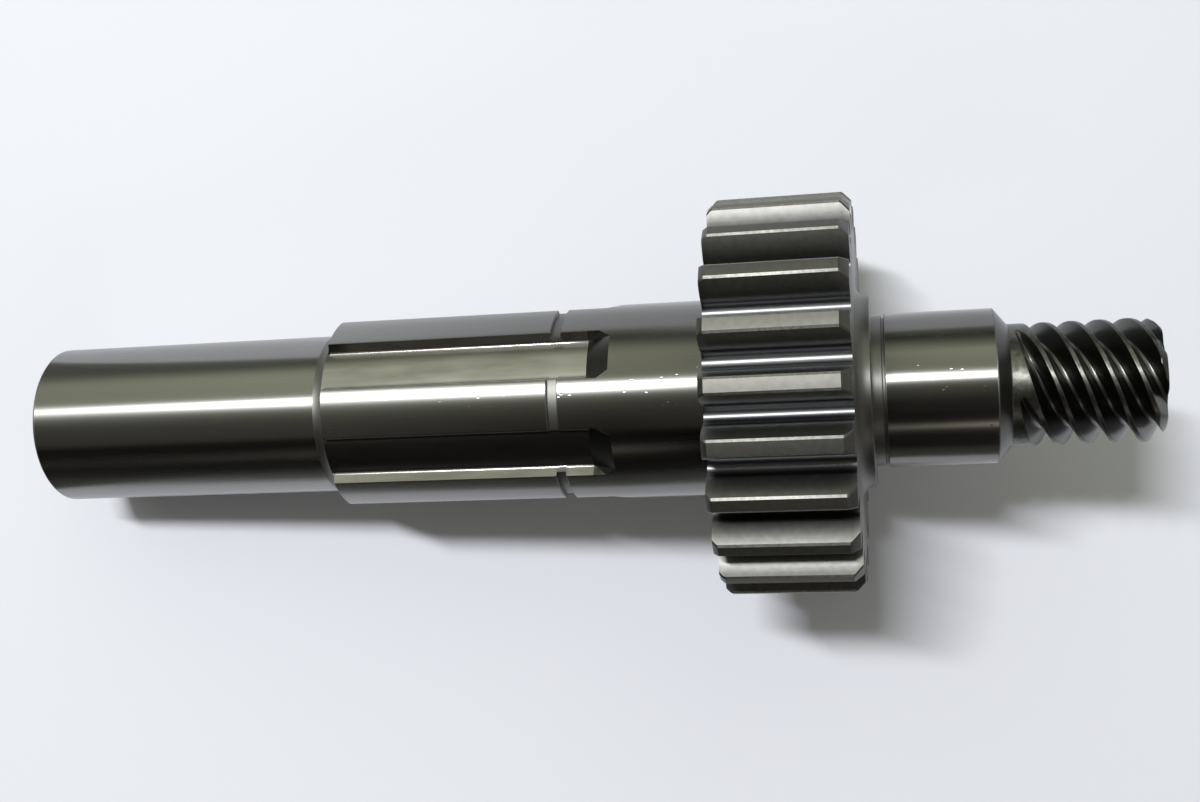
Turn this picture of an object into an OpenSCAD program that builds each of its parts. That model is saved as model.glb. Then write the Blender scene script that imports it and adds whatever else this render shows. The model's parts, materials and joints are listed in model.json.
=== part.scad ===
// Main shaft with an integral spur gear, a straight-sided spline and a multi-start worm.
// One piece of steel, turned, hobbed and ground. It lies as it comes to rest on a table:
// on the rim of its long journal and on two tooth tips of the gear.

/* [Long journal] */
// Diameter of the ground journal at the splined end
long_journal_d = 21.7; // [18:0.1:22]
// Distance from the end face to the front face of the spline
long_journal_len = 43.4; // [20:0.1:70]
// Radius of the fillet between the journal and the front face of the spline
shoulder_fillet = 1.9; // [0.4:0.1:2.2]
// Edge break on the end face
end_break = 0.3; // [0.1:0.1:1]
// Mouth diameter of the lathe centre in the end face
long_centre_d = 5.3; // [3:0.1:8]

/* [Spline and seat] */
// Outer diameter of the spline, ground in one pass with the plain seat behind it
seat_d = 26; // [25:0.5:32]
// Length of the plain seat, from the end of the spline to the gear
seat_len = 13.2; // [5:0.1:30]
// Number of spline teeth
spline_teeth = 6; // [4:1:8]
// Width of each parallel-sided spline tooth
spline_tooth_w = 6.4; // [4:0.1:7.5]
// Diameter over the floors of the spline gaps
spline_floor_d = 23; // [22.4:0.1:23.6]
// Length of the gap floors, from the front face to the foot of the run-out
spline_floor_len = 35.6; // [20:0.1:60]
// Length of the sloping run-out at the end of each gap
spline_runout_len = 3.1; // [1.5:0.1:6]
// Length along the shaft of the facet that cuts each corner of a run-out
runout_corner_len = 1.45; // [0.5:0.05:2]
// Width of that facet round the shaft
runout_corner_w = 1.05; // [0.4:0.05:1.5]
// Turn of the spline about the shaft, in degrees
spline_clock = -5; // [-30:1:30]

/* [Retaining ring groove] */
// Distance from the front face of the spline to the groove
ring_groove_at = 30.7; // [5:0.1:32]
// Width of the groove
ring_groove_w = 1.3; // [1:0.1:2]
// Depth of the groove below the spline teeth
ring_groove_depth = 0.6; // [0.3:0.05:0.9]

/* [Gear] */
// Number of gear teeth
gear_teeth = 22; // [18:2:30]
// Module, the pitch diameter for each tooth
gear_module = 2.2; // [2:0.1:3]
// Pressure angle in degrees
pressure_angle = 20; // [17.5:0.5:22.5]
// Height of a tooth above the pitch circle
gear_addendum = 1.8; // [1.4:0.1:2]
// Depth of a tooth below the pitch circle
gear_dedendum = 3.1; // [2.4:0.1:3.3]
// Radius of the fillet at the foot of each flank
gear_root_fillet = 0.9; // [0.3:0.1:1]
// Width of the gear across its faces
gear_w = 17.8; // [10:0.1:30]
// Tip chamfer at the face towards the spline
gear_chamfer_seat = 0.6; // [0.3:0.1:1.5]
// Tip chamfer at the face towards the worm
gear_chamfer_hub = 1.1; // [0.3:0.1:1.5]

/* [Hub and short journal] */
// Diameter of the thrust hub beside the gear
hub_d = 25; // [24:0.5:32]
// Length of the hub
hub_len = 1.8; // [1.6:0.1:5]
// Radius of the fillet between the gear face and the hub
hub_fillet = 1.4; // [0.4:0.1:1.5]
// Diameter of the ground journal beside the hub
short_journal_d = 20; // [18:0.5:22.5]
// Length of that journal up to its bevel
short_journal_len = 13.6; // [6:0.1:30]
// Length of the grinding relief between the hub and the journal
relief_len = 1.7; // [1:0.1:4]
// Depth of the grinding relief
relief_depth = 0.25; // [0.25:0.05:0.4]
// Width of the undercut between the relief and the journal
undercut_w = 0.35; // [0.2:0.05:0.8]
// Depth of the undercut below the journal
undercut_depth = 0.55; // [0.45:0.05:0.8]
// Length along the shaft of the bevel from the journal down to the worm
bevel_len = 1.7; // [1:0.1:4]

/* [Worm] */
// Outer diameter of the worm
worm_d = 15.7; // [14:0.1:17]
// Number of starts
worm_starts = 5; // [3:1:6]
// Distance from one thread to the next, along the shaft
worm_pitch = 3.4; // [3.2:0.05:5]
// Depth of the thread
worm_depth = 2.3; // [1.2:0.1:2.5]
// Width of the thread's floor, along the shaft
worm_floor_w = 0.6; // [0.4:0.1:0.8]
// Slope of the thread's flanks, in degrees
worm_flank = 26; // [15:1:27]
// Plain neck between the bevel and the thread
worm_neck_len = 1; // [0.5:0.1:5]
// Length of the thread, from the neck to the end face
worm_thread_len = 17.5; // [10:0.1:40]
// Length over which the thread runs up to its full depth
worm_runout_len = 3.2; // [1.5:0.1:6]
// Bevel on the end of the worm
worm_bevel = 1.2; // [0.4:0.1:1.6]
// Turn of the thread about the shaft, in degrees
worm_clock = -60; // [-180:1:180]
// Mouth diameter of the lathe centre in the end of the worm
worm_centre_d = 4.2; // [2:0.1:6]

/* [Hidden] */

$fn = 96;
steel = [0.56, 0.56, 0.54];
// Cutting solids reach this far past the surfaces that they cut
over = 1;

// Places along the shaft, measured from the face of the long journal
shoulder_at = long_journal_len;
ring_groove_start = shoulder_at + ring_groove_at;
spline_floor_end = shoulder_at + spline_floor_len;
spline_end = spline_floor_end + spline_runout_len;
gear_at = spline_end + seat_len;
hub_at = gear_at + gear_w;
relief_at = hub_at + hub_len;
short_journal_at = relief_at + relief_len;
bevel_at = short_journal_at + short_journal_len;
neck_at = bevel_at + bevel_len;
thread_at = neck_at + worm_neck_len;
shaft_len = thread_at + worm_thread_len;

// Radii
long_r = long_journal_d/2;
seat_r = seat_d/2;
spline_floor_r = spline_floor_d/2;
hub_r = hub_d/2;
short_r = short_journal_d/2;
worm_r = worm_d/2;

// Angles from the middle of a spline gap to the foot and the edge of a tooth, and to a corner facet
gap_angle = 360/spline_teeth;
gap_foot_angle = gap_angle/2 - asin(spline_tooth_w/2/spline_floor_r);
gap_edge_angle = gap_angle/2 - asin(spline_tooth_w/2/seat_r);
corner_angle = gap_edge_angle - runout_corner_w/seat_r*180/PI;
// The corner facets start this far past the foot of the run-out
corner_lap = 0.2;
function gap_spot(r, angle, z) =
    [r*cos(gap_angle/2 + angle), r*sin(gap_angle/2 + angle), z];

// Lathe centres are 60 degree cones with a pilot hole at the bottom
centre_half_angle = 30;
pilot_share = 0.47;

// Gear circles and the involute of the base circle
pitch_r = gear_teeth*gear_module/2;
tip_r = pitch_r + gear_addendum;
root_r = pitch_r - gear_dedendum;
base_r = pitch_r*cos(pressure_angle);
foot_r = max(base_r, root_r + gear_root_fillet/2);
flank_steps = 6;
fillet_steps = 3;
// The flanks run this far past the tip circle and are then cut to it
tip_spare = gear_module/10;

function involute(angle) = tan(angle)*180/PI - angle;

// Half of the angle that a tooth fills at a radius on its flank
function half_tooth(r) = 90/gear_teeth + involute(pressure_angle) - involute(acos(min(1, base_r/r)));

function polar(r, angle) = r*[cos(angle), sin(angle)];

// One flank, from the middle of the gap up the fillet and the involute to the tip
fillet_centre_r = root_r + gear_root_fillet;
fillet_centre_angle = half_tooth(foot_r) + asin(gear_root_fillet/fillet_centre_r);
fillet_sweep = 90 - asin(gear_root_fillet/fillet_centre_r);
function fillet_point(step) =
    polar(fillet_centre_r, fillet_centre_angle)
    + polar(gear_root_fillet, fillet_centre_angle + 180 + fillet_sweep*step/fillet_steps);
function involute_point(step) =
    let (r = foot_r + (tip_r + tip_spare - foot_r)*step/flank_steps)
    polar(r, half_tooth(r));
flank = concat(
    [for (step = [0:fillet_steps - 1]) fillet_point(step)],
    [for (step = [0:flank_steps]) involute_point(step)]
);
flank_last = len(flank) - 1;
tooth = concat(
    [for (i = [0:flank_last]) [flank[i].x, -flank[i].y]],
    [for (i = [0:flank_last]) flank[flank_last - i]]
);

function turned(point, angle) =
    [point.x*cos(angle) - point.y*sin(angle), point.x*sin(angle) + point.y*cos(angle)];

// Two teeth straddle the lowest line of the gear, so that the shaft lies on both
gear_pitch_angle = 360/gear_teeth;
gear_clock = gear_pitch_angle/2;
gear_outline = [
    for (k = [0:gear_teeth - 1], point = tooth) turned(point, gear_clock + k*gear_pitch_angle)
];

// Worm thread
worm_lead = worm_starts*worm_pitch;
// The thread starts this far inside the neck, already a little deep
thread_lap = 0.05;
thread_start_rise = 0.15;
// Facets of the thread stay this far inside the neck's cylinder
thread_inset = 0.02;
ring_turn = 8;
thread_r = worm_r - thread_inset;
thread_body_len = worm_thread_len - worm_bevel;
ring_count = ceil((thread_body_len + thread_lap)/worm_lead*360/ring_turn);
bevel_rings = 3;

// Depth and half width of the thread's floor at a distance past the neck
function runout_share(z) = max(0, 1 - (z + thread_start_rise)/worm_runout_len);
function thread_depth(z) = worm_depth*(1 - pow(runout_share(z), 2));
function floor_half(z) = worm_floor_w/2*min(1, sqrt((z + thread_start_rise)/worm_floor_w));

// Section of one start: places across the thread, along the shaft, with the radius at each
function thread_section(z) =
    let (depth = thread_depth(z), low = floor_half(z), high = low + depth*tan(worm_flank))
    let (middle = (low + high)/2, floor_r = thread_r - depth, mid_r = thread_r - depth/2)
    [
        [-worm_pitch/2, thread_r],
        [-high, thread_r],
        [-middle, mid_r],
        [-low, floor_r],
        [0, floor_r],
        [low, floor_r],
        [middle, mid_r],
        [high, thread_r]
    ];

// The bevel cuts every radius near the end face
function bevelled(r, z) = min(r, thread_r - max(0, z - thread_body_len));

function thread_ring(z) = [
    for (k = [0:worm_starts - 1], p = thread_section(z))
        let (angle = worm_clock + k*360/worm_starts + (z + p.x)*360/worm_lead)
        let (spot = polar(bevelled(p.y, z), angle))
        [spot.x, spot.y, z]
];

ring_places = concat(
    [for (i = [0:ring_count]) -thread_lap + (thread_body_len + thread_lap)*i/ring_count],
    [for (i = [1:bevel_rings]) thread_body_len + worm_bevel*i/bevel_rings]
);
end_ring = thread_ring(worm_thread_len);

// Rest on a table: the rim of the long journal and the nearest corners of two tooth tips touch it
tip_corner_angle = gear_pitch_angle/2 - half_tooth(tip_r);
gear_drop = tip_r*cos(tip_corner_angle);
rest_tilt = atan((gear_drop - long_r)/(gear_at + gear_chamfer_seat - end_break));
rest_lift = long_r*cos(rest_tilt) - end_break*sin(rest_tilt);
// Furthest points along the table, which the part is centred between
rest_first = -(long_r - end_break)*sin(rest_tilt);
worm_end_drop = max([for (spot = end_ring) -spot.x]);
rest_last = shaft_len*cos(rest_tilt) + worm_end_drop*sin(rest_tilt);
rest_middle = (rest_first + rest_last)/2;

// Turned outline, with the gear and the worm thread left off
module turned_body() {
    rotate_extrude()
        polygon([
            [0, 0],
            [long_r - end_break, 0],
            [long_r, end_break],
            [long_r, shoulder_at],
            [seat_r, shoulder_at],
            [seat_r, gear_at + gear_w/2],
            [hub_r, gear_at + gear_w/2],
            [hub_r, relief_at],
            [short_r - relief_depth, relief_at],
            [short_r - relief_depth, short_journal_at - undercut_w],
            [short_r - undercut_depth, short_journal_at - undercut_w],
            [short_r - undercut_depth, short_journal_at],
            [short_r, short_journal_at],
            [short_r, bevel_at],
            [worm_r, neck_at],
            [worm_r, thread_at],
            [0, thread_at]
        ]);
}

// Concave ring that blends the journal into the front face of the spline
module shoulder_blend() {
    radius = min(shoulder_fillet, 0.9*(seat_r - long_r));
    translate([0, 0, shoulder_at])
        rotate_extrude()
            difference() {
                translate([long_r - over, -radius])
                    square(radius + over);
                translate([long_r + radius, -radius])
                    circle(r = radius);
            }
}

// Concave ring that blends the gear face into the hub
module hub_blend() {
    translate([0, 0, hub_at])
        rotate_extrude()
            difference() {
                translate([hub_r - over, -over])
                    square(hub_fillet + over);
                translate([hub_r + hub_fillet, hub_fillet])
                    circle(r = hub_fillet);
            }
}

// Involute teeth with bevelled tips
module gear() {
    intersection() {
        translate([0, 0, gear_at])
            linear_extrude(gear_w)
                polygon(gear_outline);
        translate([0, 0, gear_at])
            rotate_extrude()
                polygon([
                    [0, 0],
                    [tip_r - gear_chamfer_seat, 0],
                    [tip_r, gear_chamfer_seat],
                    [tip_r, gear_w - gear_chamfer_hub],
                    [tip_r - gear_chamfer_hub, gear_w],
                    [0, gear_w]
                ]);
    }
}

// All that lies before the facet that cuts one corner of a run-out
module before_corner(side) {
    foot = gap_spot(spline_floor_r, side*gap_foot_angle, spline_floor_end + corner_lap);
    edge = gap_spot(seat_r, side*gap_edge_angle, spline_end - runout_corner_len);
    top = gap_spot(seat_r, side*corner_angle, spline_end);
    across = cross(edge - foot, top - foot);
    facing = across.z > 0 ? across : -across;
    size = 3*spline_end;
    translate(foot)
        rotate([0, acos(facing.z/norm(facing)), atan2(facing.y, facing.x)])
            translate([-size/2, -size/2, -size])
                cube(size);
}

// Everything between two spline teeth: a round floor and a conical run-out with cut corners
module spline_gap() {
    reach = seat_r + 2*over;
    runout_slope = (seat_r - spline_floor_r)/spline_runout_len;
    apex = polar(spline_tooth_w/2/sin(gap_angle/2), gap_angle/2);
    intersection() {
        rotate_extrude()
            polygon([
                [spline_floor_r, shoulder_at - over],
                [spline_floor_r, spline_floor_end],
                [seat_r + over, spline_end + over/runout_slope],
                [reach, spline_end + over/runout_slope],
                [reach, shoulder_at - over]
            ]);
        translate([0, 0, shoulder_at - 2*over])
            linear_extrude(spline_end + over/runout_slope - shoulder_at + 3*over)
                polygon([
                    apex,
                    apex + polar(2*reach, 0),
                    apex + polar(2*reach, 0) + polar(2*reach, gap_angle),
                    apex + polar(2*reach, gap_angle)
                ]);
        before_corner(1);
        before_corner(-1);
    }
}

module spline_gaps() {
    for (k = [0:spline_teeth - 1])
        rotate([0, 0, spline_clock + k*360/spline_teeth])
            spline_gap();
}

module ring_groove() {
    groove_r = seat_r - ring_groove_depth;
    translate([0, 0, ring_groove_start])
        rotate_extrude()
            translate([groove_r, 0])
                square([ring_groove_depth + over, ring_groove_w]);
}

// Lathe centre, cut downwards from the face at the origin
module lathe_centre(mouth_d) {
    mouth_r = mouth_d/2;
    pilot_r = mouth_r*pilot_share;
    cone_len = (mouth_r - pilot_r)/tan(centre_half_angle);
    rotate_extrude()
        polygon([
            [0, over],
            [mouth_r + over*tan(centre_half_angle), over],
            [mouth_r, 0],
            [pilot_r, -cone_len],
            [pilot_r, -cone_len - 2*pilot_r],
            [0, -cone_len - 3*pilot_r]
        ]);
}

// Helical thread, skinned through sections that turn with the lead
module worm_thread() {
    rings = [for (z = ring_places) thread_ring(z)];
    around = len(rings[0]);
    last = len(rings) - 1;
    spots = [for (ring = rings, spot = ring) spot];
    sides = [
        for (i = [0:last - 1], j = [0:around - 1])
            let (here = i*around + j, next = i*around + (j + 1)%around)
            each [[here, here + around, next + around], [here, next + around, next]]
    ];
    first_cap = [for (j = [0:around - 1]) j];
    last_cap = [for (j = [0:around - 1]) (last + 1)*around - 1 - j];
    translate([0, 0, thread_at])
        polyhedron(points = spots, faces = concat([first_cap], sides, [last_cap]));
}

// The finished shaft, upright on its long journal
module upright_shaft() {
    difference() {
        union() {
            turned_body();
            gear();
            shoulder_blend();
            hub_blend();
            worm_thread();
        }
        spline_gaps();
        ring_groove();
        mirror([0, 0, 1])
            lathe_centre(long_centre_d);
        translate([0, 0, shaft_len])
            lathe_centre(worm_centre_d);
    }
}

module main_shaft() {
    color(steel)
        translate([-rest_middle, 0, rest_lift])
            rotate([0, -rest_tilt, 0])
                rotate([0, 90, 0])
                    rotate([0, 0, 180])
                        upright_shaft();
}

main_shaft();
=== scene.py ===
# %% [markdown]
# A main shaft, one piece of machined steel, lying on a sheet of white paper.
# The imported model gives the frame: where the shaft's axis runs and how thick its journals are.
# This script dresses that frame with one finely meshed skin and with finishes made from nodes.

# %% Load the frame
import json
import math

import bpy
import numpy as np
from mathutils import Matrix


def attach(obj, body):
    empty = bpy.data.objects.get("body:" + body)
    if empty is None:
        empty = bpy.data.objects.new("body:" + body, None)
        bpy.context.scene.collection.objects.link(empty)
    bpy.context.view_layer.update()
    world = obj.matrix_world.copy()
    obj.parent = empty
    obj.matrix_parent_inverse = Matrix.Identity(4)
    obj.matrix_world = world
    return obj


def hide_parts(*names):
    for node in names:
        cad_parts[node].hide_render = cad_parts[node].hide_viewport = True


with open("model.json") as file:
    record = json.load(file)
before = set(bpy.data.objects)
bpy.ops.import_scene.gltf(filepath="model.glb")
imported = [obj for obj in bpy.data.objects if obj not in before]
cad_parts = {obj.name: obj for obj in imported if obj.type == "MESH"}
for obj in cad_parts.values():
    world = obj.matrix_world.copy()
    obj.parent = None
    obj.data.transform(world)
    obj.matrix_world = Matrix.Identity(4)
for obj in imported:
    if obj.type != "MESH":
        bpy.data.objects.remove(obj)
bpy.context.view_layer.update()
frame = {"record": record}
scene = bpy.context.scene
scene.view_settings.view_transform = "Standard"

# %% [markdown]
# The camera hangs over the table and looks almost straight down, turned a little so that the
# shaft climbs to the right. Its place and turn come from lining up the rims and the outlines
# of the shaft, so it is set as numbers, not aimed by a constraint.

# %% Camera
IMAGE_W = 1200
FOCAL_PX = 1497.3
SENSOR_W = 36.0
CLIP_START = 0.01
CAMERA_PLACE = (0.01329, 0.01786, 0.22447)
CAMERA_TURN_DEG = (-5.156, 2.468, -3.450)

camera_data = bpy.data.cameras.new("photo_camera")
camera_data.sensor_width = SENSOR_W
camera_data.lens = FOCAL_PX / IMAGE_W * SENSOR_W
camera_data.clip_start = CLIP_START
camera = bpy.data.objects.new("photo_camera", camera_data)
camera.location = CAMERA_PLACE
camera.rotation_euler = [math.radians(turn) for turn in CAMERA_TURN_DEG]
scene.collection.objects.link(camera)
scene.camera = camera
print("lens in mm:", round(camera_data.lens, 2))

# %% [markdown]
# Everything on a shaft is measured along its axis and out from it. The mounts in the record give
# the ground radii and the lengths of the journals. The other lengths, in millimetres, are those
# of the machining. Added up from the left end, they say where each stretch starts, so a changed
# length moves all that follows it.

# %% Places along the shaft
END_BREAK = 0.3
SHOULDER_FILLET = 1.9
SPLINE_FLOOR_LEN = 35.6
SPLINE_RUNOUT_LEN = 3.1
SEAT_LEN = 13.2
GEAR_W = 17.8
HUB_LEN = 1.8
RELIEF_LEN = 1.7
BEVEL_LEN = 1.7
WORM_NECK_LEN = 1.0
WORM_THREAD_LEN = 17.5

mounts = {mount["name"]: mount for mount in frame["record"]["mounts"]}
LONG_R = mounts["long_journal"]["dims"]["r_mm"]
LONG_LEN = END_BREAK + mounts["long_journal"]["dims"]["length_mm"]
SEAT_R = mounts["ground_seat"]["dims"]["r_mm"]
SHORT_R = mounts["short_journal"]["dims"]["r_mm"]
SHORT_LEN = mounts["short_journal"]["dims"]["length_mm"]

shoulder_at = LONG_LEN + SHOULDER_FILLET
floor_end = shoulder_at + SPLINE_FLOOR_LEN
spline_end = floor_end + SPLINE_RUNOUT_LEN
gear_at = spline_end + SEAT_LEN
hub_at = gear_at + GEAR_W
relief_at = hub_at + HUB_LEN
short_at = relief_at + RELIEF_LEN
bevel_at = short_at + SHORT_LEN
neck_at = bevel_at + BEVEL_LEN
thread_at = neck_at + WORM_NECK_LEN
shaft_len = thread_at + WORM_THREAD_LEN
print("shaft length in mm:", round(shaft_len, 2))

# %% [markdown]
# The shaft lies tilted, because the gear is thicker than the long journal. Three directions carry
# every section to its place: the axis, the side that faces the viewer, and the one square to both.
# The mounts give the axis too, so the skin lies exactly where the solid lies.

# %% Axis of the shaft
MM = 0.001
axis = np.array(mounts["short_journal"]["axis"])
axis = axis / np.linalg.norm(axis)
side = np.array([0.0, -1.0, 0.0])
upright = np.cross(side, axis)
long_middle = np.array(mounts["long_journal"]["pos_m"])
shaft_start = long_middle - axis * (LONG_LEN + END_BREAK) / 2 * MM
print("axis:", axis.round(4), "start in metres:", shaft_start.round(4))

# %% [markdown]
# The skin is a stack of closed loops, from the bottom of one lathe centre to the bottom of the
# other. A loop is an array of points (along, x, y): the place along the axis and the section.
# A turned stretch is a profile swept round the axis. Its corners are rounded a little, because
# a machined edge that catches the light is never a line.

# %% Turned stretches
TURN = 2 * math.pi
AROUND = 288
CORNER_SHARE = 0.45


def lathe(profile):
    """Loops of a turned stretch: each (along, radius) of the profile swept once round the axis."""
    along, radius = np.asarray(profile, float).T
    angle = np.arange(AROUND) * TURN / AROUND
    loops = np.empty((len(along), AROUND, 3))
    loops[..., 0] = along[:, None]
    loops[..., 1] = radius[:, None] * np.cos(angle)
    loops[..., 2] = radius[:, None] * np.sin(angle)
    return loops


def rounded(profile, radius, steps=7):
    """Profile with each inner corner replaced by a quadratic curve that starts radius before it, or
    less than half of the shorter side before it where that side is short."""
    points = np.asarray(profile, float)
    before, corner, after = points[:-2], points[1:-1], points[2:]
    step_in, step_out = corner - before, after - corner
    length_in = np.linalg.norm(step_in, axis=1, keepdims=True)
    length_out = np.linalg.norm(step_out, axis=1, keepdims=True)
    cut = np.minimum(radius, CORNER_SHARE * np.minimum(length_in, length_out))
    start, end = corner - step_in / length_in * cut, corner + step_out / length_out * cut
    share = np.linspace(0, 1, steps)[None, :, None]
    curve = (1 - share) ** 2 * start[:, None] + 2 * share * (1 - share) * corner[:, None]
    curve = curve + share**2 * end[:, None]
    return np.concatenate([points[:1], curve.reshape(-1, 2), points[-1:]])


print("points round a turned stretch:", AROUND)

# %% [markdown]
# The long journal was ground between centres, so its end face has a 60 degree lathe centre.
# A profile of a few points makes the centre, the face, the broken edge and the journal, and an
# arc makes the fillet that climbs to the spline, up to the radius of the spline's floors.

# %% Long journal
CENTRE_SLOPE = math.tan(math.radians(30))
LONG_CENTRE_R, PILOT_SHARE, PILOT_TIP_R = 2.65, 0.47, 0.02
EDGE = 0.12
SHOULDER_LAP, SHOULDER_STEPS = 1.0, 9
SPLINE_FLOOR_R = 11.5


def centre_profile(mouth_r):
    """Half section of a lathe centre as (depth, radius), from the bottom of its pilot to its mouth:
    the cone is as deep as its slope asks, the pilot two radii deeper, and its tip one more."""
    pilot_r = mouth_r * PILOT_SHARE
    cone = (mouth_r - pilot_r) / CENTRE_SLOPE
    pilot = [(cone + 3 * pilot_r, PILOT_TIP_R), (cone + 2 * pilot_r, pilot_r), (cone, pilot_r)]
    return np.array([*pilot, (0, mouth_r)])


def shoulder_curve(turn):
    """Fillet from the journal up to the spline: an arc that has turned by these angles."""
    along = LONG_LEN + SHOULDER_FILLET * np.sin(turn)
    return np.stack([along, LONG_R + SHOULDER_FILLET * (1 - np.cos(turn))], -1)


floor_turn = math.acos(1 - (SPLINE_FLOOR_R - LONG_R) / SHOULDER_FILLET)
journal_profile = np.concatenate([
    centre_profile(LONG_CENTRE_R),
    [(0, LONG_R - END_BREAK), (END_BREAK, LONG_R), (LONG_LEN - SHOULDER_LAP, LONG_R)],
])
shoulder_foot = shoulder_curve(np.linspace(0, floor_turn, SHOULDER_STEPS))
long_journal = lathe(np.concatenate([rounded(journal_profile, EDGE), shoulder_foot]))
print("long journal loops:", len(long_journal))

# %% [markdown]
# The spline drives the hub that sits on it. Its gaps were hobbed, and where the hob ran out each
# gap ends in a slope with a flat facet across both of its corners. A boolean cut would leave
# ragged triangles there. A facet is a plane, and a plane meets every section in a straight line,
# so the line's two ends are worked out for each section instead.

# %% Corner facet of the run-out
SPLINE_TEETH, SPLINE_TOOTH_W = 6, 6.4
RUNOUT_CORNER_LEN, RUNOUT_CORNER_W, CORNER_LAP = 1.45, 1.05, 0.2
HALF_W = SPLINE_TOOTH_W / 2


def polar(radius, angle):
    """Section points at these radii and angles."""
    return np.stack([radius * np.cos(angle), radius * np.sin(angle)], -1)


edge_angle = math.asin(HALF_W / SEAT_R)
facet = np.array([
    (*polar(SPLINE_FLOOR_R, math.asin(HALF_W / SPLINE_FLOOR_R)), floor_end + CORNER_LAP),
    (*polar(SEAT_R, edge_angle), spline_end - RUNOUT_CORNER_LEN),
    (*polar(SEAT_R, edge_angle + RUNOUT_CORNER_W / SEAT_R), spline_end),
])
facet_normal = np.cross(facet[2] - facet[0], facet[1] - facet[0])
facet_normal = facet_normal / np.linalg.norm(facet_normal[:2])


def corner_facet(along, tooth_r, floor_r):
    """Ends of the line in which the corner facet cuts each section, and where there is such a line.
    The line keeps a distance from the axis that grows along the shaft. It starts on the tooth's
    side, or on the outer circle past the side's end, and stops on the circle of the floor."""
    across = facet_normal[:2]
    forward = np.array([across[1], -across[0]])
    distance = facet[0] @ facet_normal - facet_normal[2] * along
    on_side = np.stack([(distance - across[1] * HALF_W) / across[0], np.full_like(along, HALF_W)], -1)
    side_r = np.hypot(on_side[:, 0], HALF_W)
    reach = np.sqrt(np.maximum(0.0, np.stack([tooth_r, floor_r]) ** 2 - distance**2))
    on_top, low = distance[:, None] * across + reach[..., None] * forward
    is_cut = (along > floor_end) & (side_r > floor_r)
    high = np.where((side_r < tooth_r)[:, None], on_side, on_top)
    return high, low, is_cut, is_cut & (side_r >= tooth_r)


print("facet's normal in the section and along:", facet_normal.round(3))

# %% [markdown]
# A section of the spline changes along the shaft in two radii only: that of the teeth and that of
# the gap floors. So one function gives half a tooth and half a gap for any pair of them. The teeth
# have parallel sides, with a small fillet at the foot, as a cutter with rounded corners leaves it.

# %% Half a spline tooth
LAND_STEPS, FLOOR_STEPS, FILLET_STEPS = 14, 16, 5
SPLINE_FILLET, SPLINE_EDGE = 0.55, 0.004
FILLET_SHARE, EDGE_SHARE, EDGE_DROP, FACET_START = 0.4, 0.2, 0.1, 0.02


def half_spline(along, tooth_r, floor_r):
    """Half a tooth and half a gap, from the tooth's middle line to the gap's, as section points.
    The land is an arc, the side a line at half the tooth's width, the fillet an arc that touches
    the side and the floor circle, and the floor an arc. In the run-out the facet's line takes the
    place of the fillet, and later of the side."""
    height = tooth_r - floor_r
    fillet = np.minimum(SPLINE_FILLET, FILLET_SHARE * height)
    edge = np.minimum(SPLINE_EDGE, EDGE_SHARE * height)
    high, low, is_cut, no_side = corner_facet(along, tooth_r, floor_r)
    land_end = np.where(no_side, np.arctan2(high[:, 1], high[:, 0]), np.arcsin(HALF_W / tooth_r))
    land_end = land_end - edge / tooth_r
    land = polar(tooth_r[:, None], land_end[:, None] * np.linspace(0, 1, LAND_STEPS))
    top = np.sqrt(tooth_r**2 - HALF_W**2) - EDGE_DROP * edge
    top = np.where(is_cut, np.maximum(top, high[:, 0]), top)
    side_top = np.stack([top, np.full_like(top, HALF_W)], -1)
    side_top = np.where(no_side[:, None], high, side_top)[:, None]
    centre_y = HALF_W + fillet
    centre_x = np.sqrt((floor_r + fillet) ** 2 - centre_y**2)
    foot_angle = np.arctan2(centre_y, centre_x)
    sweep = (np.pi / 2 - foot_angle)[:, None] * np.linspace(0, 1, FILLET_STEPS)
    curve = np.stack([centre_x, centre_y], -1)[:, None] + polar(fillet[:, None], -np.pi / 2 - sweep)
    share = np.linspace(FACET_START, 1, FILLET_STEPS)[None, :, None]
    curve = np.where(is_cut[:, None, None], high[:, None] + (low - high)[:, None] * share, curve)
    foot_angle = np.where(is_cut, np.arctan2(low[:, 1], low[:, 0]), foot_angle)
    share = np.linspace(0, 1, FLOOR_STEPS)[1:]
    floor_angle = foot_angle[:, None] + (np.pi / SPLINE_TEETH - foot_angle)[:, None] * share
    return np.concatenate([land, side_top, curve, polar(floor_r[:, None], floor_angle)], axis=1)


print("points on half a land, a fillet and half a floor:", LAND_STEPS, FILLET_STEPS, FLOOR_STEPS)

# %% [markdown]
# Spline and gear both repeat one tooth round the axis. A mirror completes the tooth, and a turn to
# every tooth completes the section. Array modifiers could do that, but then the loops would have
# to be sewn together again. Whole arrays keep all points of a loop in order.

# %% Sections round the shaft


def around_teeth(half, teeth, clock):
    """Whole sections from half teeth: each half is mirrored, and the pair is turned to every tooth."""
    mirrored = half[:, :0:-1] * np.array([1.0, -1.0])
    one = np.concatenate([mirrored[:, 1:], half], axis=1)[:, None]
    turn = (clock + np.arange(teeth) * TURN / teeth)[None, :, None]
    x = one[..., 0] * np.cos(turn) - one[..., 1] * np.sin(turn)
    y = one[..., 0] * np.sin(turn) + one[..., 1] * np.cos(turn)
    return np.stack([x, y], -1).reshape(len(half), -1, 2)


def with_along(along, sections):
    """Loops from sections and the place of each along the shaft."""
    column = np.broadcast_to(np.asarray(along, float)[:, None, None], sections.shape[:2] + (1,))
    return np.concatenate([column, sections], axis=-1)


print("degrees from one spline tooth to the next:", 360 / SPLINE_TEETH)

# %% [markdown]
# Along the shaft the spline is a list of stations, each a place with its two radii. The front is
# bevelled by the shoulder's fillet, a groove for a retaining ring crosses the teeth, and in the
# run-out the floor climbs to the seat's radius.

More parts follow.
